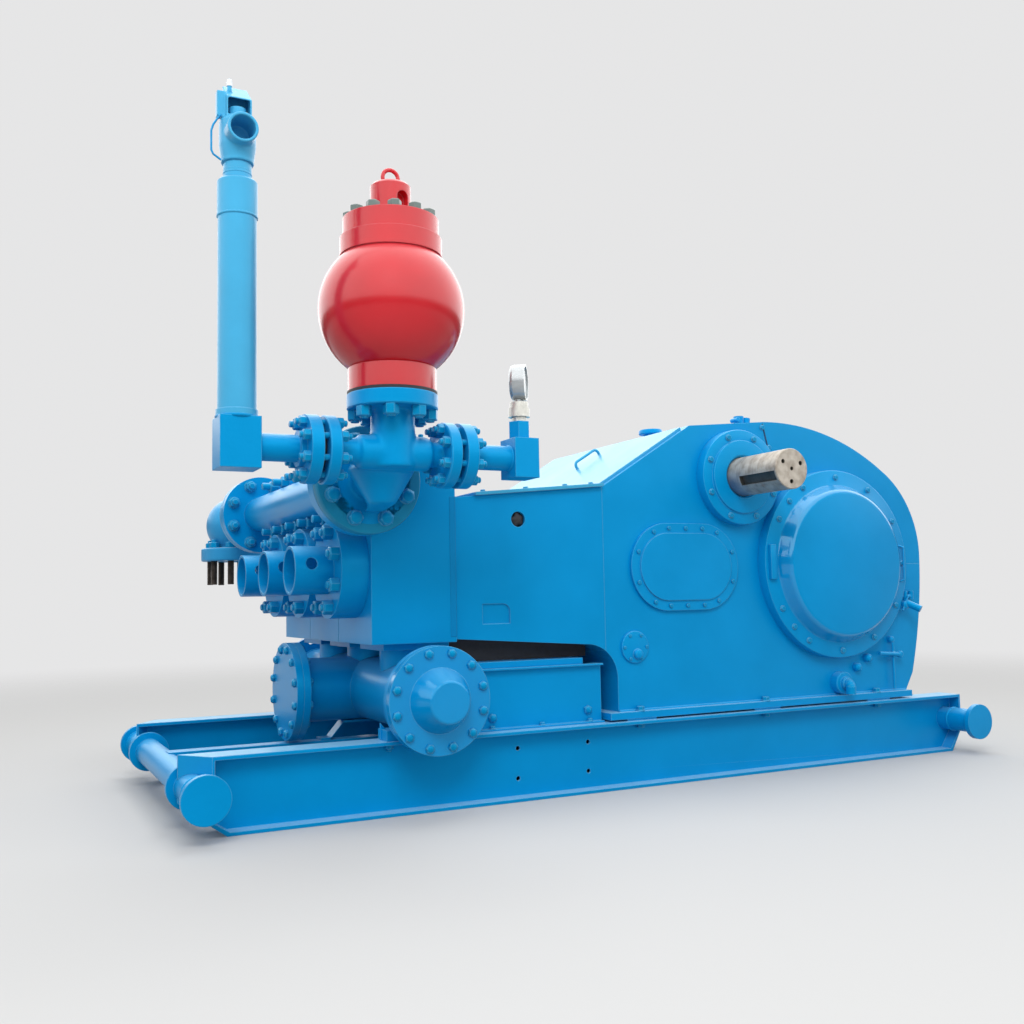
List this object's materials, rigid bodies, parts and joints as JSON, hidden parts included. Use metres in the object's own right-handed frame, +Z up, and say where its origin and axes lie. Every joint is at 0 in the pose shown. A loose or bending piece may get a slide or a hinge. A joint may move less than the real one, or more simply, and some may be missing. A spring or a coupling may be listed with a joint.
{
  "type": "triplex piston mud pump on a skid",
  "caption": "Skid-mounted reciprocating piston pump with a geared power end, a block fluid end, a pulsation dampener and a relief valve stand.",
  "frame": {"origin": "on the floor under the middle of the skid, half way between its beams", "axes": "+X from the fluid end to the power end, +Y away from the driven side, +Z up"},
  "size_m": [3.9116, 2.973, 2.557],
  "materials": {
    "blue_enamel": "glossy enamel",
    "red_enamel": "glossy enamel",
    "shaft_steel": "oiled bare steel",
    "stud_steel": "dark threaded steel",
    "gasket_rubber": "matt",
    "fitting_steel": "turned steel",
    "gauge_case": "satin steel case"
  },
  "bodies": {
    "pump": {"breather": "blue_enamel", "case_base": "blue_enamel", "centre_rail": "blue_enamel", "crank_cover_far": "blue_enamel", "crank_cover_near": "blue_enamel", "cross_member_front": "blue_enamel", "cross_member_middle": "blue_enamel", "cross_member_rear": "blue_enamel", "crosshead_cover": "blue_enamel", "crosshead_housing": "blue_enamel", "cylinder_head_far": "blue_enamel", "cylinder_head_middle": "blue_enamel", "cylinder_head_near": "blue_enamel", "dampener_cap": "red_enamel", "dampener_shell": "red_enamel", "discharge_cross": "blue_enamel", "discharge_elbow": "blue_enamel", "discharge_manifold": "blue_enamel", "elbow_studs": "stud_steel", "flange_gaskets": "gasket_rubber", "fluid_module_far": "blue_enamel", "fluid_module_middle": "blue_enamel", "fluid_module_near": "blue_enamel", "gauge_adaptor": "blue_enamel", "gauge_branch": "blue_enamel", "gauge_fitting": "fitting_steel", "gear_case": "blue_enamel", "hold_down_bolts": "blue_enamel", "inspection_cover_far": "blue_enamel", "inspection_cover_near": "blue_enamel", "lifting_lugs": "blue_enamel", "manifold_saddles": "blue_enamel", "oil_fittings": "blue_enamel", "pinion_cover_far": "blue_enamel", "pinion_cover_near": "blue_enamel", "pressure_gauge": "gauge_case", "rear_cover": "blue_enamel", "relief_branch": "blue_enamel", "relief_valve": "blue_enamel", "round_covers": "blue_enamel", "skid_beam_far": "blue_enamel", "skid_beam_near": "blue_enamel", "skid_end_pipe_front": "blue_enamel", "skid_end_pipe_rear": "blue_enamel", "slope_cover": "blue_enamel", "spray_tank": "blue_enamel", "stand_coupling": "blue_enamel", "stand_pipe": "blue_enamel", "suction_dome_cover": "blue_enamel", "suction_front_cover": "blue_enamel", "suction_manifold": "blue_enamel", "suction_necks": "blue_enamel", "suction_saddles": "blue_enamel", "tank_lid": "blue_enamel", "valve_covers": "blue_enamel"},
    "pinion": {"pinion_shaft": "shaft_steel"}
  },
  "joints": [
    {"name": "pinion_spin", "type": "hinge", "parent": "pump", "child": "pinion", "pos_m": [0.574, 0, 1.352], "axis": [0, 1, 0], "continuous": true}
  ]
}
